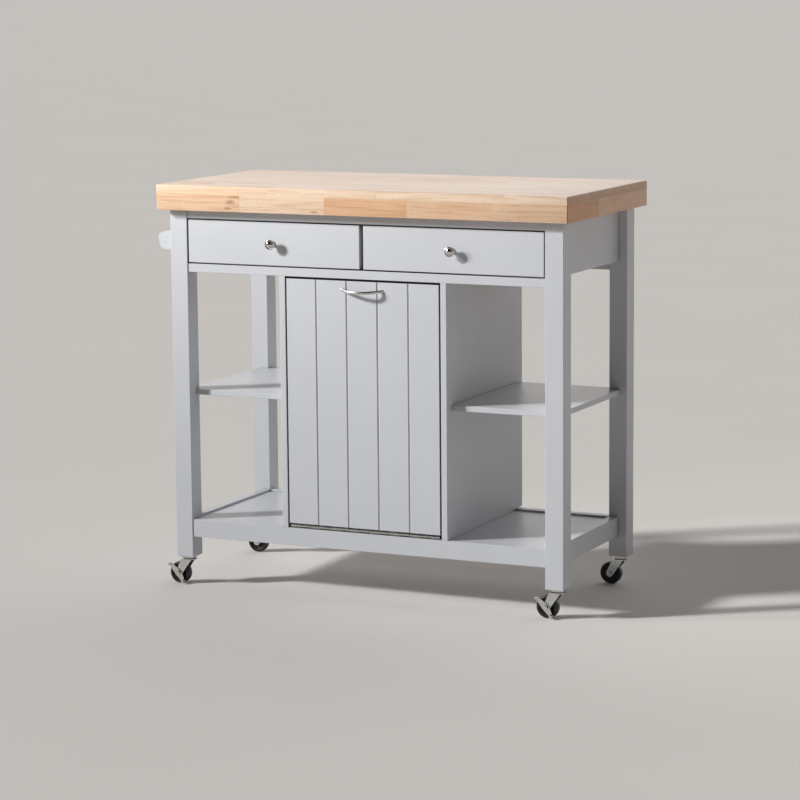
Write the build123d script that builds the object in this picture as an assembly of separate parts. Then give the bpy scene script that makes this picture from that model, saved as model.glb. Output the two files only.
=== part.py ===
from build123d import *
import math
import os

# A kitchen trolley: a butcher block top on a painted four-leg frame, with two drawers,
# open side shelves, a tilt-out bin cabinet in the middle, a towel rail on the left end
# and four swivel casters, the front two with brakes.
# Millimetres. X runs to the right, Y to the back and Z up from the floor.

# Worktop
overall_height = 914.0
top_length = 988.0
top_depth = 473.0
slab_thickness = 18.0
edge_strip_height = 38.0
edge_strip_width = 64.0

# Frame
frame_width = 948.0
frame_depth = 421.0
leg_width = 42.0
leg_depth = 44.0
leg_foot_z = 67.0
rail_thickness = 22.0
front_setback = 2.0
eased_edge = 1.0

# Heights of the rails and shelves
drawer_opening_bottom = 737.0
drawer_opening_top = 838.5
drawer_rail_bottom = 718.0
drawer_rail_depth = 44.0
side_apron_bottom = 738.0
bottom_rail_bottom = 114.0
bottom_shelf_top = 154.2
bottom_rail_lip = 4.5
bottom_shelf_thickness = 12.0
mid_shelf_top = 449.4
mid_shelf_thickness = 12.2
mid_shelf_front_setback = 27.0
mid_shelf_outer_setback = 16.0
mid_shelf_back = 192.0

# Bin cabinet and its tilt-out door
cabinet_width = 404.0
panel_thickness = 14.0
cabinet_back_thickness = 5.0
door_width = 369.0
door_thickness = 18.0
door_bottom = 164.8
door_top = 713.2
door_boards = 5
board_pitch = 74.4
groove_width = 5.0
hinge_pin_radius = 1.2
hinge_barrel_radius = 3.0
hinge_leaf_thickness = 1.2
hinge_knuckles = 15
hinge_length = 366.0
hinge_y = -205.5
hinge_z = 160.0
fixed_leaf_width = 14.0
moving_leaf_width = 11.0
knuckle_gap = 0.5
door_tilt = 32.0
cradle_half_width = 178.0
cradle_board = 12.0
cradle_radius = 330.0
cradle_floor_z = 175.0
cradle_depth_y = 118.0
cradle_back_height = 75.0
stop_pin_radius = 4.0
stop_pin_overhang = 4.0
stop_pin_seat = 10.0
stop_pin_reach = 290.0
stop_pin_angle = 78.0
stop_slot_width = 10.0

# Drawers
drawer_gap = 3.0
drawer_middle_gap = 9.5
drawer_front_thickness = 18.0
drawer_side_thickness = 12.0
drawer_side_bottom = 752.0
drawer_side_top = 822.0
drawer_box_back = 149.5
drawer_floor_z = 757.0
drawer_floor_thickness = 4.0
divider_thickness = 15.0
divider_setback = 30.0
slide_width = 12.7
slide_sheet = 1.2
slide_centre_z = 787.5
channel_front_setback = 8.0
channel_length = 304.0
channel_height = 35.0
channel_flange = 10.0
member_front_setback = 18.0
member_back_setback = 6.0
member_height = 27.0
member_flange = 8.6

# Knobs and door handle
knob_z = 787.7
knob_projection = 21.6
knob_radius = 11.4
knob_rim_radius = 10.6
knob_base_radius = 7.0
knob_neck_radius = 4.2
handle_z = 694.5
handle_spacing = 104.0
handle_projection = 23.0
handle_droop = 4.0
handle_half_height = 3.7
handle_half_thickness = 2.8

# Towel rail
towel_reach = 40.0
towel_bracket_thickness = 20.0
towel_bracket_top = 808.0
towel_bracket_bottom = 765.0
towel_bracket_nose_top = 801.0
towel_bracket_nose_setback = 7.5
towel_bracket_corner = 11.0
towel_bar_radius = 9.0
towel_bar_z = 787.0
towel_bar_inset = 18.5
towel_bar_seat = 8.0

# Casters
wheel_radius = 25.0
wheel_width = 17.0
caster_trail = 23.0
axle_radius = 3.0
running_clearance = 0.05
plate_size = 38.0
plate_thickness = 2.0
plate_corner = 5.0
race_radius = 17.0
race_gap = 2.5
race_round = 1.2
lower_race_radius = 13.0
lower_race_height = 2.1
king_pin_radius = 3.5
king_pin_below_fork = 2.2
rivet_radius = 6.0
rivet_thickness = 1.8
fork_sheet = 2.0
fork_inner_half = 10.0
fork_top_z = 59.0
cheek_boss_radius = 8.0
cheek_top_length = 25.0
cheek_top_setback = 3.5
axle_head_width = 9.0
axle_head_thickness = 3.2
wheel_shoulder = 3.5
wheel_hub_radius = 7.0
wheel_web_half = 6.0
wheel_dish_radius = 17.0
wheel_rim_radius = 18.5
wheel_side_play = 0.5
brake_sheet = 1.5
brake_gap = 0.35
brake_tab_half_width = 3.6
brake_tab_length = 6.0
brake_heel_back = 21.0
brake_heel_rise = 20.0
brake_toe_forward = 12.5
brake_toe_drop = 18.0

# The towel rail reaches further out than the top, so the frame stands off centre by
# half the difference, and the origin lies under the middle of the whole trolley.
half_width = frame_width / 2
half_depth = frame_depth / 2
frame_x = (half_width + towel_reach - top_length / 2) / 2

slab_bottom = overall_height - slab_thickness
frame_top = slab_bottom - edge_strip_height
leg_inner_x = half_width - leg_width
leg_inner_y = half_depth - leg_depth
face_y = -half_depth + front_setback
rail_outer_x = leg_inner_x + rail_thickness
rail_outer_y = leg_inner_y + rail_thickness
panel_outer_x = cabinet_width / 2
panel_inner_x = panel_outer_x - panel_thickness
leg_centre_x = half_width - leg_width / 2
leg_centre_y = half_depth - leg_depth / 2
drawer_box_front = face_y + drawer_front_thickness
door_back = face_y + door_thickness
corners = {
    "front_left": (-leg_centre_x, -leg_centre_y),
    "front_right": (leg_centre_x, -leg_centre_y),
    "rear_left": (-leg_centre_x, leg_centre_y),
    "rear_right": (leg_centre_x, leg_centre_y),
}


def keep(name, *solids):
    """Write one node: its solids, moved to where the frame stands."""
    placed = [Pos(frame_x, 0, 0) * solid for solid in solids]
    shape = placed[0] if len(placed) == 1 else Compound(children=placed)
    export_step(shape, f"parts/{name}.step")


def block(x0, x1, y0, y1, z0, z1):
    """A plain box between two corners."""
    low_x, high_x = sorted((x0, x1))
    low_y, high_y = sorted((y0, y1))
    centre = Pos((low_x + high_x) / 2, (low_y + high_y) / 2, (z0 + z1) / 2)
    return centre * Box(high_x - low_x, high_y - low_y, z1 - z0)


def board(x0, x1, y0, y1, z0, z1, ease=eased_edge):
    """A sawn board with every edge eased."""
    plain = block(x0, x1, y0, y1, z0, z1)
    return fillet(plain.edges(), ease)


def rod(radius, start, end):
    """A round bar between two points on a line along X, Y or Z."""
    low = Vector(*start)
    high = Vector(*end)
    axis = Plane(origin=low, z_dir=high - low)
    return axis * Cylinder(radius, (high - low).length, align=(Align.CENTER, Align.CENTER, Align.MIN))


def worktop():
    """An edge-glued slab with mitred strips under its rim that make it look as thick as a block."""
    corner_round = 2.0
    arris = 1.5
    half_l = top_length / 2
    half_d = top_depth / 2
    slab = block(-half_l, half_l, -half_d, half_d, slab_bottom, overall_height)
    slab = fillet(slab.edges().filter_by(Axis.Z), corner_round)
    slab = fillet(slab.edges().group_by(Axis.Z)[-1], arris)
    keep("worktop_slab", slab)

    inner_l = half_l - edge_strip_width
    inner_d = half_d - edge_strip_width
    low = Plane.XY.offset(frame_top)
    long_strips = []
    end_strips = []
    for side in (-1, 1):
        outer_edge = ((-half_l, side * half_d), (half_l, side * half_d))
        inner_edge = ((inner_l, side * inner_d), (-inner_l, side * inner_d))
        outline = make_face(Polyline(*outer_edge, *inner_edge, close=True))
        long_strips.append(extrude(low * outline, edge_strip_height))
        outer_edge = ((side * half_l, -half_d), (side * half_l, half_d))
        inner_edge = ((side * inner_l, inner_d), (side * inner_l, -inner_d))
        outline = make_face(Polyline(*outer_edge, *inner_edge, close=True))
        end_strips.append(extrude(low * outline, edge_strip_height))
    keep("worktop_long_strips", *long_strips)
    keep("worktop_end_strips", *end_strips)


def legs():
    """Four square posts from the casters to the top."""
    for corner, (x, y) in corners.items():
        half_x = leg_width / 2
        half_y = leg_depth / 2
        keep(f"leg_{corner}", board(x - half_x, x + half_x, y - half_y, y + half_y, leg_foot_z, frame_top))


def rails():
    """Rails and aprons that join the legs at the top, under the drawers and at the bottom."""
    x = leg_inner_x
    y = leg_inner_y
    back = face_y + rail_thickness
    keep("front_top_rail", board(-x, x, face_y, back, drawer_opening_top, frame_top))
    rail_back = face_y + drawer_rail_depth
    keep("drawer_rail", board(-x, x, face_y, rail_back, drawer_rail_bottom, drawer_opening_bottom))
    keep("rear_apron", board(-x, x, y, rail_outer_y, drawer_rail_bottom, frame_top))
    lip_top = bottom_shelf_top + bottom_rail_lip
    keep("bottom_rail_front", board(-x, x, face_y, back, bottom_rail_bottom, bottom_shelf_top))
    keep("bottom_rail_rear", board(-x, x, y, rail_outer_y, bottom_rail_bottom, lip_top))
    for side, name in ((-1, "left"), (1, "right")):
        inner = side * x
        outer = side * rail_outer_x
        keep(f"side_apron_{name}", board(inner, outer, -y, y, side_apron_bottom, frame_top))
        keep(f"bottom_rail_{name}", board(inner, outer, -y, y, bottom_rail_bottom, lip_top))


def shelves():
    """A full-width bottom shelf inside the rails, and a notched shelf each side of the cabinet."""
    x = leg_inner_x
    y = leg_inner_y
    low = bottom_shelf_top - bottom_shelf_thickness
    keep("bottom_shelf", block(-x, x, face_y + rail_thickness, y, low, bottom_shelf_top))

    front = -half_depth + mid_shelf_front_setback
    outer_x = half_width - mid_shelf_outer_setback
    under = mid_shelf_top - mid_shelf_thickness
    for side, name in ((-1, "left"), (1, "right")):
        shelf = board(side * panel_outer_x, side * outer_x, front, mid_shelf_back, under, mid_shelf_top)
        for end in (-1, 1):
            notch = block(side * x, side * half_width, end * y, end * half_depth, under, mid_shelf_top)
            shelf = shelf - notch
        keep(f"shelf_{name}", shelf)


def on_hinge_circle(radius, degrees):
    """The Y and Z of a point on a circle about the door's hinge line."""
    angle = math.radians(degrees)
    return hinge_y + radius * math.cos(angle), hinge_z + radius * math.sin(angle)


def cabinet():
    """Two side panels and a thin back, with a stop pin standing in from each side panel."""
    pin_y, pin_z = on_hinge_circle(stop_pin_reach, stop_pin_angle)
    pin_inner_x = cradle_half_width - cradle_board - stop_pin_overhang
    back_y = half_depth - front_setback - cabinet_back_thickness
    lip_top = bottom_shelf_top + bottom_rail_lip
    pins = []
    for side, name in ((-1, "left"), (1, "right")):
        outer = side * panel_outer_x
        inner = side * panel_inner_x
        panel = block(inner, outer, face_y, back_y, bottom_shelf_top, drawer_rail_bottom)
        panel = fillet(panel.faces().sort_by(Axis.Y)[0].edges(), eased_edge)
        panel = panel - block(inner, outer, leg_inner_y, back_y, bottom_shelf_top, lip_top)
        seat_end = inner + side * stop_pin_seat
        pin = rod(stop_pin_radius, (side * pin_inner_x, pin_y, pin_z), (seat_end, pin_y, pin_z))
        keep(f"cabinet_panel_{name}", panel - pin)
        pins.append(pin)
    keep("door_stop_pins", *pins)
    outer_back = back_y + cabinet_back_thickness
    half = panel_outer_x
    keep("cabinet_back", block(-half, half, back_y, outer_back, lip_top, drawer_rail_bottom))


def door():
    """A grooved board-and-groove door with a quadrant cradle behind it for the bin."""
    half = door_width / 2
    panel = board(-half, half, face_y, door_back, door_bottom, door_top)
    side_of_cutter = groove_width / math.sqrt(2)
    for index in range(door_boards - 1):
        x = (index - (door_boards - 2) / 2) * board_pitch
        middle_z = (door_bottom + door_top) / 2
        cutter = Pos(x, face_y, middle_z) * Rot(0, 0, 45) * Box(side_of_cutter, side_of_cutter, 2 * middle_z)
        panel = panel - cutter
    keep("door_panel", panel)

    foot_z = cradle_floor_z
    floor_angle = math.degrees(math.asin((foot_z - hinge_z) / cradle_radius))
    door_angle = math.degrees(math.acos((door_back - hinge_y) / cradle_radius))
    low = on_hinge_circle(cradle_radius, floor_angle)
    middle = on_hinge_circle(cradle_radius, (floor_angle + door_angle) / 2)
    high = on_hinge_circle(cradle_radius, door_angle)
    rim = ThreePointArc(low, middle, high)
    quadrant = make_face(rim + Polyline(high, (door_back, foot_z), low))
    slot_start = stop_pin_angle - door_tilt
    slot_arc = CenterArc((hinge_y, hinge_z), stop_pin_reach, slot_start, door_tilt)
    quadrant = quadrant - SlotArc(slot_arc, stop_slot_width)
    inner = cradle_half_width - cradle_board
    side_boards = []
    for start in (-cradle_half_width, inner):
        side_boards.append(extrude(Plane.YZ.offset(start) * quadrant, cradle_board))
    keep("cradle_sides", *side_boards)
    floor_top = foot_z + cradle_board
    keep("cradle_floor", block(-inner, inner, door_back, cradle_depth_y, foot_z, floor_top))
    back_top = floor_top + cradle_back_height
    back_front = cradle_depth_y - cradle_board
    keep("cradle_back", board(-inner, inner, back_front, cradle_depth_y, floor_top, back_top))


def door_hinge():
    """A continuous hinge under the door: two leaves, alternate knuckles and one long pin."""
    pitch = hinge_length / hinge_knuckles
    half = hinge_length / 2
    web_back = hinge_y + hinge_barrel_radius
    web_front = web_back - hinge_leaf_thickness
    fixed_top = bottom_shelf_top + hinge_leaf_thickness
    moving_bottom = door_bottom - hinge_leaf_thickness
    fixed = block(-half, half, web_front, web_back + fixed_leaf_width, bottom_shelf_top, fixed_top)
    moving = block(-half, half, web_front, web_back + moving_leaf_width, moving_bottom, door_bottom)
    for index in range(hinge_knuckles):
        start = -half + index * pitch + knuckle_gap / 2
        end = start + pitch - knuckle_gap
        barrel = rod(hinge_barrel_radius, (start, hinge_y, hinge_z), (end, hinge_y, hinge_z))
        if index % 2 == 0:
            fixed = fixed + barrel + block(start, end, web_front, web_back, bottom_shelf_top, hinge_z)
        else:
            moving = moving + barrel + block(start, end, web_front, web_back, hinge_z, door_bottom)
    pin = rod(hinge_pin_radius, (-half, hinge_y, hinge_z), (half, hinge_y, hinge_z))
    bore_radius = hinge_pin_radius + running_clearance
    past_end = half + 1
    bore = rod(bore_radius, (-past_end, hinge_y, hinge_z), (past_end, hinge_y, hinge_z))
    keep("door_hinge_fixed_leaf", fixed - pin)
    keep("door_hinge_moving_leaf", moving - bore)
    keep("door_hinge_pin", pin)


def door_handle():
    """A bow pull: one oval bar in an arc between two feet, hanging a little lower in the middle."""
    half = handle_spacing / 2
    foot_y = face_y + handle_half_thickness
    crown = (0, face_y - handle_projection, handle_z - handle_droop)
    bow = ThreePointArc((-half, foot_y, handle_z), crown, (half, foot_y, handle_z))
    outline = Ellipse(handle_half_height, handle_half_thickness)
    section = Plane(origin=bow @ 0, z_dir=bow % 0, x_dir=(0, 0, 1)) * outline
    bar = sweep(section, path=bow)
    keep("door_handle", bar - block(-door_width, door_width, face_y, door_back, door_bottom, door_top))


def knob(x):
    """A turned mushroom knob, revolved about its own axis and set on a drawer front."""
    neck_end = 0.42 * knob_projection
    rim_start = 0.63 * knob_projection
    rim_middle = 0.76 * knob_projection
    rim_end = 0.88 * knob_projection
    crown_radius = 0.9 * knob_radius
    outline = Polyline(
        (crown_radius, rim_end),
        (0.7 * knob_radius, 0.96 * knob_projection),
        (0, knob_projection),
        (0, 0),
        (knob_base_radius, 0),
        (knob_base_radius, 1.4),
        (knob_neck_radius + 1.0, 2.6),
        (knob_neck_radius, 5.0),
        (knob_neck_radius, neck_end),
        (0.67 * knob_radius, rim_start - 1.2),
        (knob_rim_radius, rim_start),
    )
    rim = ThreePointArc((knob_rim_radius, rim_start), (knob_radius, rim_middle), (crown_radius, rim_end))
    profile = make_face(outline + rim)
    turned = revolve(profile, Axis.Y)
    return Pos(x, face_y, knob_z) * Rot(180, 0, 0) * turned


def c_section(wall_x, towards, front, back, height, flange):
    """A rolled C-section strip with its web on a wall and its flanges standing out."""
    low = slide_centre_z - height / 2
    high = slide_centre_z + height / 2
    web_x = wall_x + towards * slide_sheet
    lip_x = wall_x + towards * flange
    web = block(wall_x, web_x, front, back, low, high)
    lower = block(web_x, lip_x, front, back, low, low + slide_sheet)
    upper = block(web_x, lip_x, front, back, high - slide_sheet, high)
    return web + lower + upper


def slide_channel(wall_x, towards):
    """A fixed C-section slide member on a wall at wall_x, open towards +X or -X."""
    front = channel_front_setback - leg_inner_y
    back = front + channel_length
    return c_section(wall_x, towards, front, back, channel_height, channel_flange)


def slide_member(wall_x, towards):
    """A moving C-section slide member on a drawer side at wall_x, open towards +X or -X."""
    front = drawer_box_front + member_front_setback
    back = drawer_box_back - member_back_setback
    return c_section(wall_x, towards, front, back, member_height, member_flange)


def drawers():
    """Two inset drawers on side slides, either side of a middle divider."""
    half_divider = divider_thickness / 2
    divider_front = drawer_box_front + divider_setback
    low = drawer_opening_bottom
    high = drawer_opening_top
    keep("drawer_divider", block(-half_divider, half_divider, divider_front, leg_inner_y, low, high))
    front_low = low + drawer_gap
    front_high = high - drawer_gap
    channels = []
    for side, name in ((-1, "left"), (1, "right")):
        near_x = side * drawer_middle_gap / 2
        far_x = side * (leg_inner_x - drawer_gap)
        front = board(near_x, far_x, face_y, drawer_box_front, front_low, front_high)
        keep(f"drawer_{name}_front", front)
        box_near = side * (half_divider + slide_width)
        box_far = side * (leg_inner_x - slide_width)
        inner_near = box_near + side * drawer_side_thickness
        inner_far = box_far - side * drawer_side_thickness
        sides = []
        for outer, inner in ((box_near, inner_near), (box_far, inner_far)):
            ends = (drawer_box_front, drawer_box_back)
            sides.append(block(outer, inner, *ends, drawer_side_bottom, drawer_side_top))
        keep(f"drawer_{name}_sides", *sides)
        back_front = drawer_box_back - drawer_side_thickness
        keep(
            f"drawer_{name}_back",
            block(inner_near, inner_far, back_front, drawer_box_back, drawer_side_bottom, drawer_side_top),
        )
        floor_top = drawer_floor_z + drawer_floor_thickness
        keep(
            f"drawer_{name}_floor",
            block(inner_near, inner_far, drawer_box_front, back_front, drawer_floor_z, floor_top),
        )
        keep(f"drawer_{name}_slides", slide_member(box_near, -side), slide_member(box_far, side))
        channels.append(slide_channel(side * half_divider, side))
        channels.append(slide_channel(side * leg_inner_x, -side))
        keep(f"drawer_{name}_knob", knob((near_x + far_x) / 2))
    keep("drawer_slide_channels", *channels)


def towel_rail():
    """Two shaped brackets on the left legs and a dowel between them."""
    wall = -half_width
    nose = wall - towel_reach
    outline = Polyline(
        (wall, towel_bracket_top),
        (wall - towel_reach / 2, towel_bracket_top - 1.5),
        (nose, towel_bracket_nose_top),
        (nose + towel_bracket_nose_setback, towel_bracket_bottom + 2.0),
        (wall, towel_bracket_bottom),
        close=True,
    )
    face = make_face(outline)
    rounded = fillet(face.vertices().sort_by(Axis.X)[:3], towel_bracket_corner)
    bar_x = nose + towel_bar_inset
    half_t = towel_bracket_thickness / 2
    seat_y = leg_centre_y - half_t + towel_bar_seat
    bar = rod(towel_bar_radius, (bar_x, -seat_y, towel_bar_z), (bar_x, seat_y, towel_bar_z))
    brackets = []
    for side in (-1, 1):
        start = side * leg_centre_y + half_t
        # Plane.XZ faces -Y, so the bracket grows forwards from its back face.
        brackets.append(extrude(Plane.XZ.offset(-start) * rounded, towel_bracket_thickness) - bar)
    keep("towel_brackets", *brackets)
    keep("towel_bar", bar)


def caster_plate(x, y):
    """Top plate, upper race and king pin, riveted into one piece."""
    half = plate_size / 2
    low = leg_foot_z - plate_thickness
    plate = block(x - half, x + half, y - half, y + half, low, leg_foot_z)
    plate = fillet(plate.edges().filter_by(Axis.Z), plate_corner)
    race = rod(race_radius, (x, y, fork_top_z + race_gap), (x, y, low))
    race = fillet(race.edges().group_by(Axis.Z)[0], race_round)
    pin_end = fork_top_z - fork_sheet - king_pin_below_fork
    king_pin = rod(king_pin_radius, (x, y, pin_end), (x, y, low))
    rivet = rod(rivet_radius, (x, y, pin_end), (x, y, pin_end + rivet_thickness))
    return plate + race + king_pin + rivet


def caster_fork(x, y):
    """A pressed fork with its raised race, trailing to the left of the king pin."""
    axle_x = x - caster_trail
    under = fork_top_z - fork_sheet
    race_top = fork_top_z + lower_race_height
    fork = rod(race_radius, (x, y, under), (x, y, fork_top_z))
    fork = fork + rod(lower_race_radius, (x, y, fork_top_z), (x, y, race_top))
    boss = Pos(axle_x, wheel_radius) * Circle(cheek_boss_radius)
    top_edge = Pos(x - cheek_top_setback, under + 0.5) * Rectangle(cheek_top_length, 1.0)
    cheek_outline = make_hull(boss.edges() + top_edge.edges())
    for start in (fork_inner_half, -fork_inner_half - fork_sheet):
        cheek = extrude(Plane.XZ.offset(-(y + start + fork_sheet)) * cheek_outline, fork_sheet)
        fork = fork + cheek
    bore_radius = king_pin_radius + running_clearance
    return fork - rod(bore_radius, (x, y, under - 1), (x, y, race_top + 1))


def hexagon_head(x, y0, y1, z, across_flats):
    """A hexagon bolt head or nut whose axis runs along Y."""
    outline = Pos(x, z) * RegularPolygon(across_flats / 2, 6, major_radius=False)
    return extrude(Plane.XZ.offset(-y1) * outline, y1 - y0)


def caster_axle(x, y, front_stack):
    """The bolt and nut that carry the wheel."""
    axle_x = x - caster_trail
    outer = fork_inner_half + fork_sheet
    front = y - outer - front_stack
    back = y + outer
    shank = rod(axle_radius, (axle_x, front, wheel_radius), (axle_x, back, wheel_radius))
    head = hexagon_head(axle_x, front - axle_head_thickness, front, wheel_radius, axle_head_width)
    nut = hexagon_head(axle_x, back, back + axle_head_thickness, wheel_radius, axle_head_width)
    return shank + head + nut


def caster_wheel(x, y):
    """A moulded wheel: rounded tread, dished faces and a bored hub."""
    tread = wheel_width / 2
    hub = fork_inner_half - wheel_side_play
    bore = axle_radius + running_clearance
    half_outline = Polyline(
        (bore, hub),
        (wheel_hub_radius, hub),
        (wheel_hub_radius, wheel_web_half),
        (wheel_dish_radius, wheel_web_half),
        (wheel_rim_radius, tread),
        (wheel_radius - wheel_shoulder, tread),
    )
    shoulder_start = (wheel_radius - wheel_shoulder, tread)
    shoulder_end = (wheel_radius, tread - wheel_shoulder)
    shoulder = RadiusArc(shoulder_start, shoulder_end, -wheel_shoulder)
    mirrored = mirror(half_outline + shoulder, about=Plane.XZ)
    tread_line = Line((wheel_radius, tread - wheel_shoulder), (wheel_radius, wheel_shoulder - tread))
    bore_line = Line((bore, hub), (bore, -hub))
    profile = make_face(half_outline + shoulder + tread_line + mirrored + bore_line)
    return Pos(x - caster_trail, y, wheel_radius) * revolve(profile, Axis.Y)


def brake_lever(x, y):
    """A pressed lever on the axle: a heel above the wheel and a toe tab near the floor."""
    axle_x = x - caster_trail
    heel = (axle_x - brake_heel_back, wheel_radius + brake_heel_rise)
    toe = (axle_x + brake_toe_forward, wheel_radius - brake_toe_drop)
    hub = Pos(axle_x, wheel_radius) * Circle(cheek_boss_radius)
    front = y - fork_inner_half - fork_sheet - brake_gap
    outline = Sketch() + hub
    tabs = []
    for end in (heel, toe):
        tip = Pos(*end) * Circle(brake_tab_half_width)
        outline = outline + make_hull(hub.edges() + tip.edges())
        tabs.append(tip)
    lever = extrude(Plane.XZ.offset(-front) * outline, brake_sheet)
    for tip in tabs:
        lever = lever + extrude(Plane.XZ.offset(-front) * tip, brake_sheet + brake_tab_length)
    past_lever = front - brake_sheet - 1
    bore_radius = axle_radius + running_clearance
    return lever - rod(bore_radius, (axle_x, past_lever, wheel_radius), (axle_x, front + 1, wheel_radius))


def casters():
    """Four swivel casters trailing to the left; the front two carry brake levers."""
    keep("caster_plates", *[caster_plate(x, y) for x, y in corners.values()])
    for corner, (x, y) in corners.items():
        braked = corner.startswith("front")
        front_stack = brake_sheet + 2 * brake_gap if braked else 0.0
        axle = caster_axle(x, y, front_stack)
        keep(f"caster_fork_{corner}", caster_fork(x, y) - axle, axle)
        keep(f"caster_wheel_{corner}", caster_wheel(x, y))
        if braked:
            keep(f"caster_brake_{corner}", brake_lever(x, y))


os.makedirs("parts", exist_ok=True)
worktop()
legs()
rails()
shelves()
cabinet()
door()
door_hinge()
door_handle()
drawers()
towel_rail()
casters()
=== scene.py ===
import math
import random

import bmesh
import bpy
from mathutils import Matrix, Vector


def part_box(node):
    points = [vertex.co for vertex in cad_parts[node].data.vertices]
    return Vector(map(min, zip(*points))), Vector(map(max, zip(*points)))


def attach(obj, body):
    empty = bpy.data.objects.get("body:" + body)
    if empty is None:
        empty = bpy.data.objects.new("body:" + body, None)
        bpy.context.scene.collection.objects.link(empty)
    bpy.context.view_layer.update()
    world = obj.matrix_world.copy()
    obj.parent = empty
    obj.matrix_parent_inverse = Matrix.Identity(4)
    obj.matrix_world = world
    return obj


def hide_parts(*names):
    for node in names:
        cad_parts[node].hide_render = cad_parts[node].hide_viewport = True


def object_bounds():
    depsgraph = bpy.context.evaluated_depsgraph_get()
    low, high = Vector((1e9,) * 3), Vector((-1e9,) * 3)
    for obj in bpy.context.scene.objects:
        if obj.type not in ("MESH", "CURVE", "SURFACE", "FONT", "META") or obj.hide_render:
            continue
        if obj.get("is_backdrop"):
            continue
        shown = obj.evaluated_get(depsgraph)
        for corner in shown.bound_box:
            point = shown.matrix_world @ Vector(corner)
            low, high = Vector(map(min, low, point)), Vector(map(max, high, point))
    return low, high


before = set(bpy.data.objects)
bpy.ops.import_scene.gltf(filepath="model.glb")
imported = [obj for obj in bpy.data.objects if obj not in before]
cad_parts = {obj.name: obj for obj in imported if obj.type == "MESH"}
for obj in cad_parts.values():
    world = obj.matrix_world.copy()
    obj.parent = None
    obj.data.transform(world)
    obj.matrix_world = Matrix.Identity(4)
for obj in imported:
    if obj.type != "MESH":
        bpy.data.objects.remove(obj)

cad_low, cad_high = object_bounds()


# ---------------------------------------------------------------------------------------------
# Legs. Four hardwood posts, 42 by 44 mm, planed and eased at the edges, then primed and sprayed
# with a light grey satin paint that lets a little of the upright grain show through.

def add_node(finish, kind, **settings):
    """One shader node, with its settings and its unlinked sockets filled in."""
    made = finish.node_tree.nodes.new(kind)
    for key, value in settings.items():
        if hasattr(made, key):
            setattr(made, key, value)
        else:
            made.inputs[key.replace("_", " ").title()].default_value = value
    return made


def join(finish, start, end):
    finish.node_tree.links.new(start, end)


def new_finish(name):
    """An empty finish with its shader, and the piece's own coordinates in metres."""
    finish = bpy.data.materials.new(name)
    finish.use_nodes = True
    shader = finish.node_tree.nodes["Principled BSDF"]
    places = add_node(finish, "ShaderNodeTexCoord").outputs["Object"]
    return finish, shader, places


def stretched(finish, places, scale):
    """The coordinates scaled along each axis, so that a pattern comes out long and thin."""
    mapping = add_node(finish, "ShaderNodeMapping")
    mapping.inputs["Scale"].default_value = scale
    join(finish, places, mapping.inputs["Vector"])
    return mapping.outputs["Vector"]


def speckle(finish, places, scale, detail=2.0, roughness=0.5, distortion=0.0):
    """A soft random pattern, from 0 to 1."""
    made = add_node(finish, "ShaderNodeTexNoise", scale=scale, detail=detail, roughness=roughness,
                    distortion=distortion)
    join(finish, places, made.inputs["Vector"])
    return made.outputs["Fac"]


def spread(finish, value, low, high, to_low, to_high):
    """The value's range from low to high, opened out to another range and cut off there."""
    made = add_node(finish, "ShaderNodeMapRange")
    for socket, number in zip(made.inputs[1:5], (low, high, to_low, to_high)):
        socket.default_value = number
    join(finish, value, made.inputs["Value"])
    return made.outputs["Result"]


def blended(finish, first, second, share, how="MIX"):
    """Two colours or values mixed by a share; a plain colour may stand for either."""
    made = add_node(finish, "ShaderNodeMix", data_type="RGBA", blend_type=how)
    share_socket, first_socket, second_socket = made.inputs[0], made.inputs[6], made.inputs[7]
    for socket, given in ((first_socket, first), (second_socket, second), (share_socket, share)):
        if isinstance(given, tuple):
            socket.default_value = (*given, 1.0)
        elif isinstance(given, float):
            socket.default_value = given
        else:
            join(finish, given, socket)
    mixed_colour = made.outputs[2]
    return mixed_colour


def raised(finish, shader, *layers):
    """Fine relief from several patterns; each layer is (height pattern, depth in metres)."""
    below = None
    for pattern, depth in layers:
        bump = add_node(finish, "ShaderNodeBump", strength=1.0, distance=depth)
        join(finish, pattern, bump.inputs["Height"])
        if below:
            join(finish, below, bump.inputs["Normal"])
        below = bump.outputs["Normal"]
    join(finish, below, shader.inputs["Normal"])


def rubbed_edges(finish, width):
    """1 along the edges of a piece, where the finish is thin, and 0 on its flats."""
    bevel = add_node(finish, "ShaderNodeBevel", samples=4)
    bevel.inputs["Radius"].default_value = width
    flat = add_node(finish, "ShaderNodeNewGeometry").outputs["Normal"]
    turn = add_node(finish, "ShaderNodeVectorMath", operation="DOT_PRODUCT")
    join(finish, bevel.outputs["Normal"], turn.inputs[0])
    join(finish, flat, turn.inputs[1])
    flat_cosine, edge_cosine = 0.995, 0.88
    return spread(finish, turn.outputs["Value"], flat_cosine, edge_cosine, 0.0, 1.0)


def painted_gap_shade(finish, reach):
    """Painted shade: 1 far down in the narrow gaps between pieces, where little light reaches, and 0 in the
    open.
    """
    shelter = add_node(finish, "ShaderNodeAmbientOcclusion", samples=6)
    shelter.inputs["Distance"].default_value = reach
    open_above, shaded_below, deepest_shade = 0.52, 0.26, 0.95
    return spread(finish, shelter.outputs["AO"], open_above, shaded_below, 0.0, deepest_shade)


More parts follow.
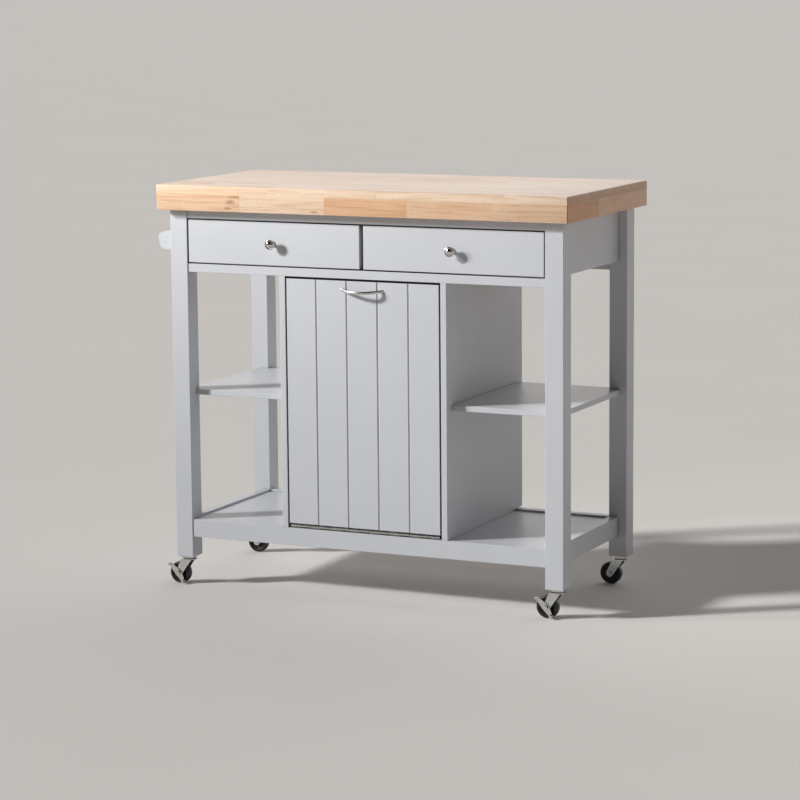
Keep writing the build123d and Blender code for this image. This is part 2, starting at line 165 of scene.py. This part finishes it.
def painted(name, grain):
    """Satin paint over wood whose grain is long along the axis where the scale is small."""
    grey = (0.560, 0.580, 0.612)
    thick_grey = (0.520, 0.542, 0.578)
    thin_edge = (0.660, 0.672, 0.690)
    # painted shade: near-black colour laid into deep gaps in place of their shadow
    gap_shade_colour = (0.035, 0.033, 0.032)
    edge_width, gap_reach = 0.0012, 0.014
    fibre_relief, stipple_relief = 0.00006, 0.000025
    finish, shader, places = new_finish(name)
    cloud = speckle(finish, places, 5.0, detail=3.0)
    colour = blended(finish, grey, thick_grey, spread(finish, cloud, 0.3, 0.7, 0.0, 0.55))
    fibres = speckle(finish, stretched(finish, places, grain), 1.0, detail=4.0, roughness=0.6)
    colour = blended(finish, colour, thick_grey, spread(finish, fibres, 0.45, 0.75, 0.0, 0.5))
    edge = rubbed_edges(finish, edge_width)
    colour = blended(finish, colour, thin_edge, spread(finish, edge, 0.0, 1.0, 0.0, 0.35))
    # painted shade: the paint darkens to near black deep in narrow gaps
    colour = blended(finish, colour, gap_shade_colour, painted_gap_shade(finish, gap_reach))
    join(finish, colour, shader.inputs["Base Color"])
    stipple = speckle(finish, places, 620.0, detail=2.0)
    sheen = speckle(finish, places, 34.0, detail=3.0)
    join(finish, spread(finish, sheen, 0.3, 0.7, 0.35, 0.40), shader.inputs["Roughness"])
    shader.inputs["Specular IOR Level"].default_value = 0.46
    raised(finish, shader, (fibres, fibre_relief), (stipple, stipple_relief))
    return finish


def coat(node, finish):
    """Gives a CAD piece its finish."""
    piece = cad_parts[node]
    piece.data.materials.clear()
    piece.data.materials.append(finish)


across_grain, along_grain = 300.0, 7.0    # how many fibres pass in a metre
paint_upright = painted("grey_paint_upright", (across_grain, across_grain, along_grain))
for corner in ("front_left", "front_right", "rear_left", "rear_right"):
    coat(f"leg_{corner}", paint_upright)


# ---------------------------------------------------------------------------------------------
# Rails and aprons. Hardwood rails doweled and glued between the legs, at the top, under the
# drawers and at the bottom, in the same grey paint with the grain along each rail.

paint_lengthways = painted("grey_paint_lengthways", (along_grain, across_grain, across_grain))
paint_crossways = painted("grey_paint_crossways", (across_grain, along_grain, across_grain))
for node in ("front_top_rail", "drawer_rail", "rear_apron", "bottom_rail_front", "bottom_rail_rear"):
    coat(node, paint_lengthways)
for side in ("left", "right"):
    coat(f"side_apron_{side}", paint_crossways)
    coat(f"bottom_rail_{side}", paint_crossways)


# ---------------------------------------------------------------------------------------------
# Shelves. One full-width bottom shelf let in between the rails, and a notched shelf each side
# of the cabinet, all about 12 mm thick, of fibreboard sprayed in the same grey.

for node in ("bottom_shelf", "shelf_left", "shelf_right"):
    coat(node, paint_lengthways)


# ---------------------------------------------------------------------------------------------
# Bin cabinet. Two 14 mm side panels between the bottom shelf and the drawer rail, and a thin
# back nailed on behind, painted. Two zinc-plated steel pins stand in from the sides as stops.

def zinc_plate(name):
    """Bright zinc plate on pressed steel: a cloudy blue and straw bloom over fine rolling marks."""
    blue, straw = (0.60, 0.63, 0.67), (0.70, 0.67, 0.60)
    rolling_mark = (0.40, 0.41, 0.42)
    # painted shade: near-black colour laid into deep gaps in place of their shadow
    gap_shade_colour = (0.045, 0.040, 0.035)
    gap_reach, relief = 0.009, 0.00006
    finish, shader, places = new_finish(name)
    bloom = speckle(finish, places, 55.0, detail=3.0, distortion=0.6)
    colour = blended(finish, blue, straw, spread(finish, bloom, 0.35, 0.7, 0.0, 1.0))
    rolled = speckle(finish, stretched(finish, places, (900.0, 90.0, 900.0)), 1.0, detail=3.0)
    colour = blended(finish, colour, rolling_mark, spread(finish, rolled, 0.56, 0.8, 0.0, 0.5))
    # painted shade: the zinc darkens to near black deep in narrow gaps
    colour = blended(finish, colour, gap_shade_colour, painted_gap_shade(finish, gap_reach))
    join(finish, colour, shader.inputs["Base Color"])
    shader.inputs["Metallic"].default_value = 1.0
    spangle = speckle(finish, places, 260.0, detail=1.0)
    join(finish, spread(finish, spangle, 0.3, 0.7, 0.12, 0.26), shader.inputs["Roughness"])
    raised(finish, shader, (rolled, relief), (spangle, relief))
    return finish


zinc = zinc_plate("bright_zinc")
for side in ("left", "right"):
    coat(f"cabinet_panel_{side}", paint_upright)
coat("cabinet_back", paint_upright)
coat("door_stop_pins", zinc)


# ---------------------------------------------------------------------------------------------
# Casters. A pressed zinc-plated plate and fork on a riveted king pin, a bolt for an axle, and
# on the front two a pressed brake lever with a heel tab and a toe tab.

coat("caster_plates", zinc)
for corner in ("front_left", "front_right", "rear_left", "rear_right"):
    coat(f"caster_fork_{corner}", zinc)
for corner in ("front_left", "front_right"):
    coat(f"caster_brake_{corner}", zinc)


# ---------------------------------------------------------------------------------------------
# Wheels. Solid black moulded wheels, 50 mm across with a 17 mm tread that has round shoulders
# and a parting line, and a dished web stiffened with eight moulded ribs a side.

def black_moulding(name):
    """Black moulded rubber, dull and finely grained, with grey scuffs and floor dust."""
    black, dusty_scuff = (0.008, 0.008, 0.0085), (0.050, 0.047, 0.043)
    grain_relief, scuff_relief = 0.00004, 0.00005
    finish, shader, places = new_finish(name)
    scuff = speckle(finish, places, 150.0, detail=5.0, roughness=0.65)
    colour = blended(finish, black, dusty_scuff, spread(finish, scuff, 0.58, 0.85, 0.0, 1.0))
    join(finish, colour, shader.inputs["Base Color"])
    grain = speckle(finish, places, 1800.0, detail=2.0)
    join(finish, spread(finish, scuff, 0.3, 0.75, 0.30, 0.55), shader.inputs["Roughness"])
    raised(finish, shader, (grain, grain_relief), (scuff, scuff_relief))
    return finish


def turned(outline, steps):
    """A ring of faces turned about the Y axis from an outline of (radius, along) points."""
    made = bmesh.new()
    rings = []
    for step in range(steps):
        angle = 2 * math.pi * step / steps
        ring = [made.verts.new((r * math.cos(angle), y, r * math.sin(angle))) for r, y in outline]
        rings.append(ring)
    for step in range(steps):
        here, there = rings[step], rings[(step + 1) % steps]
        for i in range(len(outline) - 1):
            made.faces.new((here[i], here[i + 1], there[i + 1], there[i]))
    bmesh.ops.remove_doubles(made, verts=made.verts, dist=1e-6)
    bmesh.ops.recalc_face_normals(made, faces=made.faces)
    return made


def set_down(name, made, place, finish, body, crease=35.0):
    """Makes a finished mesh into a piece at its place, which rides on its body."""
    mesh = bpy.data.meshes.new(name)
    made.to_mesh(mesh)
    made.free()
    mesh.transform(Matrix.Translation(place))
    mesh.shade_smooth()
    mesh.set_sharp_from_angle(angle=math.radians(crease))
    mesh.materials.append(finish)
    piece = bpy.data.objects.new(name, mesh)
    bpy.context.scene.collection.objects.link(piece)
    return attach(piece, body)


rubber = black_moulding("black_wheel_rubber")
bore = 0.00305
tread = 0.0085       # half the tread's width
web = 0.0056         # half the web's thickness
shoulder = 0.0035
flash = 0.0002       # how far the parting line stands out
ribs = 8
rib_size = (0.0106, 0.0020, 0.0014)
rib_place = (0.0122, web + 0.0004)
for corner in ("front_left", "front_right", "rear_left", "rear_right"):
    low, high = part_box(f"caster_wheel_{corner}")
    centre = (low + high) / 2
    radius = (high.z - low.z) / 2
    hub = (high.y - low.y) / 2
    boss = [(bore, hub), (0.0062, hub), (0.0068, hub - 0.0006)]
    dish = [(0.0072, web + 0.0008), (0.0082, web), (0.0160, web), (0.0170, web + 0.0006)]
    rim = [(0.0180, tread - 0.0004), (0.0187, tread)]
    for step in range(7):
        turn = math.radians(15 * step)
        out = radius - flash - shoulder + shoulder * math.sin(turn)
        rim.append((out, tread - shoulder + shoulder * math.cos(turn)))
    parting = [(radius - flash, 0.0003), (radius, 0.0001)]
    half = boss + dish + rim + parting
    outline = half + [(r, -y) for r, y in reversed(half)] + [half[0]]
    wheel = turned(outline, 72)
    for spoke in range(ribs):
        for face in (-1, 1):
            rib = bmesh.ops.create_cube(wheel, size=1.0)["verts"]
            bmesh.ops.scale(wheel, verts=rib, vec=rib_size)
            bmesh.ops.translate(wheel, verts=rib, vec=(rib_place[0], face * rib_place[1], 0.0))
            turn = Matrix.Rotation(2 * math.pi * (spoke + 0.5) / ribs, 3, "Y")
            bmesh.ops.rotate(wheel, verts=rib, cent=(0, 0, 0), matrix=turn)
    piece = set_down(f"wheel_{corner}", wheel, centre, rubber, f"wheel_{corner}")
    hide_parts(f"caster_wheel_{corner}")


# ---------------------------------------------------------------------------------------------
# Drawer bay. A painted divider between the drawers, and four rolled zinc-plated slide channels
# screwed to it and to the side aprons.

coat("drawer_divider", paint_crossways)
coat("drawer_slide_channels", zinc)


# ---------------------------------------------------------------------------------------------
# Drawer boxes. Clear-lacquered birch plywood, 12 mm sides and back and a 4 mm floor, whose
# layers show along every sawn edge.

def plywood(name, grain, through):
    """Birch plywood: pale veneer on its faces and the layers of its core on its edges."""
    pale, figured, glue_line = (0.72, 0.58, 0.40), (0.58, 0.43, 0.27), (0.36, 0.23, 0.12)
    layer_bands = 105.0
    figure_relief = 0.00008
    finish, shader, places = new_finish(name)
    figure = speckle(finish, stretched(finish, places, grain), 1.0, detail=5.0, roughness=0.55,
                     distortion=0.8)
    colour = blended(finish, pale, figured, spread(finish, figure, 0.35, 0.7, 0.0, 1.0))
    layers = add_node(finish, "ShaderNodeTexWave", wave_type="BANDS", bands_direction=through,
                      scale=layer_bands)
    join(finish, places, layers.inputs["Vector"])
    core = spread(finish, layers.outputs["Fac"], 0.2, 0.3, 1.0, 0.0)
    colour = blended(finish, colour, glue_line, spread(finish, core, 0.0, 1.0, 0.0, 0.45))
    join(finish, colour, shader.inputs["Base Color"])
    join(finish, spread(finish, figure, 0.3, 0.7, 0.42, 0.56), shader.inputs["Roughness"])
    raised(finish, shader, (figure, figure_relief))
    return finish


ply_sides = plywood("birch_ply_sides", (260.0, 12.0, 260.0), "X")
ply_back = plywood("birch_ply_back", (12.0, 260.0, 260.0), "Y")
ply_floor = plywood("birch_ply_floor", (12.0, 240.0, 240.0), "Z")
for side in ("left", "right"):
    coat(f"drawer_{side}_sides", ply_sides)
    coat(f"drawer_{side}_back", ply_back)
    coat(f"drawer_{side}_floor", ply_floor)
    coat(f"drawer_{side}_slides", zinc)
    coat(f"drawer_{side}_front", paint_lengthways)


# ---------------------------------------------------------------------------------------------
# Drawer knobs. Turned mushroom knobs in zinc alloy with a polished chrome plate, each held by
# one screw through the drawer front.

def polished_plate(name, gloss, dull):
    """Chrome plate between two roughnesses, with faint polishing lines and finger marks."""
    clean, fingered = (0.74, 0.73, 0.72), (0.58, 0.575, 0.57)
    line_relief = 0.000006
    finish, shader, places = new_finish(name)
    marks = speckle(finish, places, 130.0, detail=4.0, roughness=0.6)
    colour = blended(finish, clean, fingered, spread(finish, marks, 0.35, 0.75, 0.0, 1.0))
    join(finish, colour, shader.inputs["Base Color"])
    shader.inputs["Metallic"].default_value = 1.0
    join(finish, spread(finish, marks, 0.35, 0.8, gloss, dull), shader.inputs["Roughness"])
    lines = speckle(finish, stretched(finish, places, (400.0, 2200.0, 2200.0)), 1.0)
    raised(finish, shader, (lines, line_relief))
    return finish


polish = polished_plate("polished_chrome", 0.07, 0.17)
for side in ("left", "right"):
    low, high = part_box(f"drawer_{side}_knob")
    reach = high.y - low.y
    half = (high.x - low.x) / 2
    foot = [(0.0, 0.0), (0.0068, 0.0), (0.0070, 0.0003), (0.0070, 0.0010), (0.0066, 0.0014)]
    neck = [(0.0056, 0.0021), (0.0048, 0.0032), (0.0043, 0.0048), (0.0042, 0.0066), (0.0044, 0.0086)]
    underside = [(0.0052, 0.0104), (0.0068, 0.0120), (0.0088, 0.0131), (0.0103, 0.0137)]
    rim = [(0.0111, 0.0146), (half, 0.0160), (half - 0.0001, 0.0171), (0.0108, 0.0181), (0.0099, 0.0187)]
    ring_groove = [(0.0090, 0.0188), (0.0084, 0.0185), (0.0080, 0.0184), (0.0077, 0.0187)]
    crown = [(0.0070, 0.0198), (0.0052, 0.0209), (0.0028, reach - 0.0002), (0.0, reach)]
    outline = foot + neck + underside + rim + ring_groove + crown
    knob = turned([(r, -y) for r, y in outline], 64)
    seat = Vector(((low.x + high.x) / 2, high.y, (low.z + high.z) / 2))
    piece = set_down(f"knob_{side}", knob, seat, polish, f"drawer_{side}", crease=60.0)
    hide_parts(f"drawer_{side}_knob")


# ---------------------------------------------------------------------------------------------
# Tilt-out door. An 18 mm painted fibreboard panel with four V-grooves, hung at its foot on a
# continuous zinc-plated hinge, with a bow pull in satin chrome screwed on near its top.

coat("door_panel", paint_upright)
satin = polished_plate("satin_chrome", 0.24, 0.34)
coat("door_handle", satin)
for node in ("door_hinge_fixed_leaf", "door_hinge_moving_leaf", "door_hinge_pin"):
    coat(node, zinc)


# ---------------------------------------------------------------------------------------------
# Bin cradle. A quadrant board each side with a curved slot over the stop pin, a floor and a low
# back, all painted and screwed to the back of the door.

coat("cradle_sides", paint_upright)
coat("cradle_floor", paint_lengthways)
coat("cradle_back", paint_lengthways)


# ---------------------------------------------------------------------------------------------
# Towel rail. Two shaped hardwood brackets glued to the left legs, and an 18 mm dowel let into
# blind holes in them, all painted grey.

coat("towel_brackets", paint_upright)
coat("towel_bar", paint_crossways)


# ---------------------------------------------------------------------------------------------
# Butcher block. An 18 mm slab of short rubberwood staves glued edge to edge, with a mitred
# 38 mm strip of staves, two plies deep, glued under its rim so that it looks 56 mm thick. It is
# sanded and lacquered.

def timber(name, long_axis, knots=()):
    """Lacquered rubberwood: each stave has its own tone, rings, fibres and dark pores. A knot is
    given by its middle and its reach along each axis."""
    pale_wood, pale_bend = (0.79, 0.65, 0.51), (0.74, 0.58, 0.435)
    dark_wood, dark_bend = (0.64, 0.335, 0.155), (0.57, 0.285, 0.125)
    knot_brown = (0.30, 0.145, 0.062)
    ring_tint, fibre_tint, pore_tint = (0.86, 0.76, 0.66), (0.88, 0.80, 0.70), (0.62, 0.50, 0.40)
    end_grain_tint = (0.63, 0.42, 0.24)
    fibre_relief, pore_relief = 0.00006, 0.00004
    finish, shader, places = new_finish(name)
    still = places
    tone = add_node(finish, "ShaderNodeAttribute", attribute_name="stave_tone").outputs["Fac"]
    shift = add_node(finish, "ShaderNodeAttribute", attribute_name="stave_shift").outputs["Vector"]
    moved = add_node(finish, "ShaderNodeVectorMath", operation="ADD")
    join(finish, places, moved.inputs[0])
    join(finish, shift, moved.inputs[1])
    places = moved.outputs["Vector"]

    def grain(along, across):
        return tuple(along if axis == long_axis else across for axis in "XYZ")

    bend = speckle(finish, stretched(finish, places, grain(5.0, 22.0)), 1.0, detail=2.0)
    rings = speckle(finish, stretched(finish, places, grain(3.5, 95.0)), 1.0, detail=3.0, distortion=1.6)
    fibres = speckle(finish, stretched(finish, places, grain(16.0, 620.0)), 1.0, detail=4.0, roughness=0.65)
    pores = speckle(finish, stretched(finish, places, grain(95.0, 1700.0)), 1.0, detail=1.0)
    pale = blended(finish, pale_wood, pale_bend, spread(finish, bend, 0.35, 0.65, 0.0, 1.0))
    dark = blended(finish, dark_wood, dark_bend, spread(finish, bend, 0.35, 0.65, 0.0, 1.0))
    colour = blended(finish, pale, dark, tone)
    ringed = blended(finish, colour, ring_tint, 1.0, "MULTIPLY")
    colour = blended(finish, colour, ringed, spread(finish, rings, 0.47, 0.66, 0.0, 0.85))
    fibred = blended(finish, colour, fibre_tint, 1.0, "MULTIPLY")
    colour = blended(finish, colour, fibred, spread(finish, fibres, 0.48, 0.72, 0.0, 0.8))
    pored = blended(finish, colour, pore_tint, 1.0, "MULTIPLY")
    open_pore = spread(finish, pores, 0.66, 0.74, 0.0, 1.0)
    colour = blended(finish, colour, pored, open_pore)
    for middle, size in knots:
        near = add_node(finish, "ShaderNodeVectorMath", operation="SUBTRACT")
        join(finish, still, near.inputs[0])
        near.inputs[1].default_value = middle
        swirl = stretched(finish, near.outputs["Vector"], tuple(1.0 / reach for reach in size))
        distance = add_node(finish, "ShaderNodeVectorMath", operation="LENGTH")
        join(finish, swirl, distance.inputs[0])
        ragged = add_node(finish, "ShaderNodeMath", operation="ADD")
        join(finish, distance.outputs["Value"], ragged.inputs[0])
        join(finish, speckle(finish, still, 260.0, detail=4.0, distortion=1.0), ragged.inputs[1])
        stain = spread(finish, ragged.outputs["Value"], 0.75, 1.7, 0.72, 0.0)
        colour = blended(finish, colour, knot_brown, stain)
    facing = add_node(finish, "ShaderNodeSeparateXYZ")
    join(finish, add_node(finish, "ShaderNodeTexCoord").outputs["Normal"], facing.inputs["Vector"])
    sawn = add_node(finish, "ShaderNodeMath", operation="ABSOLUTE")
    join(finish, facing.outputs[long_axis], sawn.inputs[0])
    soaked = blended(finish, colour, end_grain_tint, 1.0, "MULTIPLY")
    colour = blended(finish, colour, soaked, spread(finish, sawn.outputs["Value"], 0.6, 0.9, 0.0, 1.0))
    join(finish, colour, shader.inputs["Base Color"])
    join(finish, spread(finish, fibres, 0.3, 0.75, 0.30, 0.44), shader.inputs["Roughness"])
    shader.inputs["Coat Weight"].default_value = 0.25
    shader.inputs["Coat Roughness"].default_value = 0.18
    raised(finish, shader, (fibres, fibre_relief), (open_pore, pore_relief))
    return finish


def lay_stave(course, low, high, tone, luck, side="slab", first=False, last=False):
    """One stave, with the block's own rounding where it meets the outside and hairline arrises.
    The first and last staves of a side of the rim are mitred at 45 degrees."""
    block_low, block_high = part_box("worktop_slab")
    foot_of_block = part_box("worktop_long_strips")[0].z
    touching, hair = 1e-6, 0.0001
    stave = bmesh.new()
    bmesh.ops.create_cube(stave, size=1.0)
    bmesh.ops.scale(stave, verts=stave.verts, vec=high - low)
    bmesh.ops.translate(stave, verts=stave.verts, vec=(low + high) / 2)
    if side != "slab":
        along, over = (0, 1) if side in ("front", "back") else (1, 0)
        inner = high[over] if side in ("front", "left") else low[over]
        for corner in stave.verts:
            if abs(corner.co[over] - inner) < touching:
                if first and abs(corner.co[along] - low[along]) < touching:
                    corner.co[along] += high[over] - low[over]
                if last and abs(corner.co[along] - high[along]) < touching:
                    corner.co[along] -= high[over] - low[over]

    roundings = {"corner": (0.0020, 4), "rim": (0.0015, 4), "foot": (0.0008, 2), "joint": (0.00018, 1)}
    outer_skin, upright_rise, square_angle = 0.0021, 0.005, 0.9

    def part_of_block(edge):
        """Which of the four roundings an edge takes."""
        middle = (edge.verts[0].co + edge.verts[1].co) / 2
        at_end = min(abs(middle.x - block_low.x), abs(middle.x - block_high.x)) < outer_skin
        at_side = min(abs(middle.y - block_low.y), abs(middle.y - block_high.y)) < outer_skin
        if abs(edge.verts[0].co.z - edge.verts[1].co.z) > upright_rise:
            return "corner" if at_end and at_side else "joint"
        if (at_end or at_side) and middle.z > block_high.z - hair:
            return "rim"
        if (at_end or at_side) and middle.z < foot_of_block + hair:
            return "foot"
        return "joint"

    for wanted, (width, steps) in roundings.items():
        square = [e for e in stave.edges if len(e.link_faces) == 2 and e.calc_face_angle() >= square_angle]
        chosen = [edge for edge in square if part_of_block(edge) == wanted]
        if chosen:
            bmesh.ops.bevel(stave, geom=chosen, offset=width, segments=steps, affect="EDGES", profile=0.5)
    tones = stave.faces.layers.float.new("stave_tone")
    shifts = stave.faces.layers.float_vector.new("stave_shift")
    shift = (luck.uniform(-9, 9), luck.uniform(-9, 9), luck.uniform(-9, 9))
    for face in stave.faces:
        face[tones] = tone
        face[shifts] = shift
    mesh = bpy.data.meshes.new("stave")
    stave.to_mesh(mesh)
    stave.free()
    course.from_mesh(mesh)
    bpy.data.meshes.remove(mesh)


def open_course():
    """An empty course that keeps each stave's tone and shift."""
    course = bmesh.new()
    course.faces.layers.float.new("stave_tone")
    course.faces.layers.float_vector.new("stave_shift")
    return course


def cuts(start, end, length, luck, given=()):
    """Where the stave joints fall along a row: at the given places, or about a length apart."""
    if given:
        return [start, *given, end]
    found = [start]
    place = start + luck.uniform(0.3, 1.0) * length
    while place < end - 0.25 * length:
        found.append(place)
        place += luck.uniform(0.8, 1.25) * length
    return found + [end]


low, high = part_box("worktop_slab")
front_face, right_face = low.y, high.x
knots_along = (((-0.286, front_face, 0.8915), (0.016, 0.020, 0.0028)),
               ((-0.297, front_face, 0.8800), (0.013, 0.020, 0.0060)),
               ((-0.303, front_face, 0.8660), (0.011, 0.020, 0.0038)),
               ((-0.090, front_face, 0.8640), (0.010, 0.020, 0.0026)))
knots_across = (((right_face, -0.070, 0.8880), (0.020, 0.010, 0.0060)),)
timber_lengthways = timber("rubberwood_lengthways", "X", knots_along)
timber_crossways = timber("rubberwood_crossways", "Y", knots_across)

luck = random.Random(11)
rows = 11
row_depth = (high.y - low.y) / rows
slab_stave = 0.30
front_row_joints = (-0.205, 0.060, 0.360)
front_row_tones = (0.32, 0.10, 0.04, 0.04)
usual_tone, darkest_slab = 0.13, 0.55
slab = open_course()
for row in range(rows):
    y0 = low.y + row * row_depth
    joints = cuts(low.x, high.x, slab_stave, luck, front_row_joints if row == 0 else ())
    for index, (x0, x1) in enumerate(zip(joints, joints[1:])):
        if row == 0:
            tone = front_row_tones[index]
        else:
            tone = max(0.0, min(darkest_slab, luck.gauss(usual_tone, 0.13)))
        lay_stave(slab, Vector((x0, y0, low.z)), Vector((x1, y0 + row_depth, high.z)), tone, luck)
in_place = Vector((0, 0, 0))
piece = set_down("block_slab", slab, in_place, timber_lengthways, "cart")
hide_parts("worktop_slab")

low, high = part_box("worktop_long_strips")
strip_width = 0.064
strip_stave = 0.21
usual_tone, darkest_strip = 0.5, 0.9
mitred = {"long": open_course(), "end": open_course()}
given_joints = {"front": (-0.274, -0.065, 0.132, 0.330), "right": (-0.057, 0.142)}
given_tones = {"front": (0.42, 0.14, 0.68, 0.50, 0.36), "right": (1.0, 0.80, 0.76)}
for side in ("front", "back", "left", "right"):
    kind = "long" if side in ("front", "back") else "end"
    for ply in range(2):
        inset = ply * strip_width / 2
        shown = ply == 0 and side in given_joints
        start, end = (low.x, high.x) if kind == "long" else (low.y, high.y)
        joints = cuts(start + inset, end - inset, strip_stave, luck, given_joints[side] if shown else ())
        for index, (near, far) in enumerate(zip(joints, joints[1:])):
            if shown:
                tone = given_tones[side][index]
            else:
                tone = max(0.0, min(darkest_strip, luck.gauss(usual_tone, 0.25)))
            first = near == joints[0]
            last = far == joints[-1]
            depth = (inset, inset + strip_width / 2)
            if kind == "long":
                y = sorted((low.y + d if side == "front" else high.y - d) for d in depth)
                corners = (Vector((near, y[0], low.z)), Vector((far, y[1], high.z)))
            else:
                x = sorted((low.x + d if side == "left" else high.x - d) for d in depth)
                corners = (Vector((x[0], near, low.z)), Vector((x[1], far, high.z)))
            lay_stave(mitred[kind], *corners, tone, luck, side, first, last)
piece = set_down("block_long_strips", mitred["long"], in_place, timber_lengthways, "cart")
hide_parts("worktop_long_strips")
piece = set_down("block_end_strips", mitred["end"], in_place, timber_crossways, "cart")
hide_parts("worktop_end_strips")


# ---------------------------------------------------------------------------------------------
# Studio. A plain pale floor that runs out of sight, a big window and one soft lamp high on the
# left in front, a pale wall's glow from behind, and the camera a little above the top.

pale, paler = (0.79, 0.77, 0.745), (0.82, 0.80, 0.775)
floor_radius = 90.0
floor_finish, shader, places = new_finish("pale_floor")
mottle = speckle(floor_finish, places, 1.3, detail=4.0)
join(floor_finish, blended(floor_finish, paler, pale, mottle), shader.inputs["Base Color"])
shader.inputs["Roughness"].default_value = 0.9
shader.inputs["Specular IOR Level"].default_value = 0.08
made = bmesh.new()
bmesh.ops.create_circle(made, cap_ends=True, radius=floor_radius, segments=96)
mesh = bpy.data.meshes.new("studio_floor")
made.to_mesh(mesh)
made.free()
mesh.materials.append(floor_finish)
studio_floor = bpy.data.objects.new("studio_floor", mesh)
bpy.context.scene.collection.objects.link(studio_floor)
studio_floor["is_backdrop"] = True

middle = (cad_low + cad_high) / 2
towards_lamp = Vector((-0.736, -0.516, 0.438)).normalized()
over_the_top = Vector((-0.05, -0.15, 1.08))
warm_white = (1.0, 0.99, 0.98)
window = bpy.data.lights.new("window_light", "SUN")
window.energy = 3.3
window.angle = math.radians(6.0)
lamp = bpy.data.lights.new("soft_lamp", "AREA")
lamp.shape = "DISK"
lamp.size = 0.35
lamp.energy = 3.6
lamp.spread = math.radians(60.0)
for light, reach, aim in ((window, 6.0, middle), (lamp, 2.2, over_the_top)):
    light.color = warm_white
    stand = bpy.data.objects.new(light.name, light)
    stand.location = middle + reach * towards_lamp
    stand.rotation_euler = (stand.location - aim).to_track_quat("Z", "Y").to_euler()
    bpy.context.scene.collection.objects.link(stand)

air = bpy.data.worlds.new("studio_air")
air.use_nodes = True
glow = air.node_tree


def air_step(operation, first, second):
    """One vector sum on the way to the air's glow; the second vector may be plain numbers."""
    step = glow.nodes.new("ShaderNodeVectorMath")
    step.operation = operation
    glow.links.new(first, step.inputs[0])
    if isinstance(second, tuple):
        step.inputs[1].default_value = second
    else:
        glow.links.new(second, step.inputs[1])
    return step.outputs["Value" if operation == "DOT_PRODUCT" else "Vector"]


glow_from_right_back_above = (0.22, 1.42, 0.02)
way = glow.nodes.new("ShaderNodeTexCoord").outputs["Generated"]
lit_side = air_step("MAXIMUM", way, (0.0, 0.0, 0.0))
squared = air_step("MULTIPLY", lit_side, lit_side)
strength = air_step("DOT_PRODUCT", squared, glow_from_right_back_above)
glow.links.new(strength, glow.nodes["Background"].inputs["Strength"])
glow.nodes["Background"].inputs["Color"].default_value = (1.0, 0.95, 0.925, 1.0)
bpy.context.scene.world = air
bpy.context.scene.view_settings.view_transform = "Standard"

camera_place = (2.7687, -5.8434, 1.4245)
turn, dip, tilt = math.radians(25.34), math.radians(8.81), math.radians(-0.49)
ahead = Vector((-math.sin(turn) * math.cos(dip), math.cos(turn) * math.cos(dip), -math.sin(dip)))
across = Vector((math.cos(turn), math.sin(turn), 0.0))
up = across.cross(ahead)
right = across * math.cos(tilt) + up * math.sin(tilt)
top = up * math.cos(tilt) - across * math.sin(tilt)
lens = bpy.data.cameras.new("camera")
lens.sensor_width = 36.0
lens.lens = 130.47
lens.clip_end = 400.0
camera = bpy.data.objects.new("camera", lens)
facing_it = Matrix((right, top, -ahead)).transposed().to_4x4()
camera.matrix_world = Matrix.Translation(camera_place) @ facing_it
bpy.context.scene.collection.objects.link(camera)
bpy.context.scene.camera = camera

low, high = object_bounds()
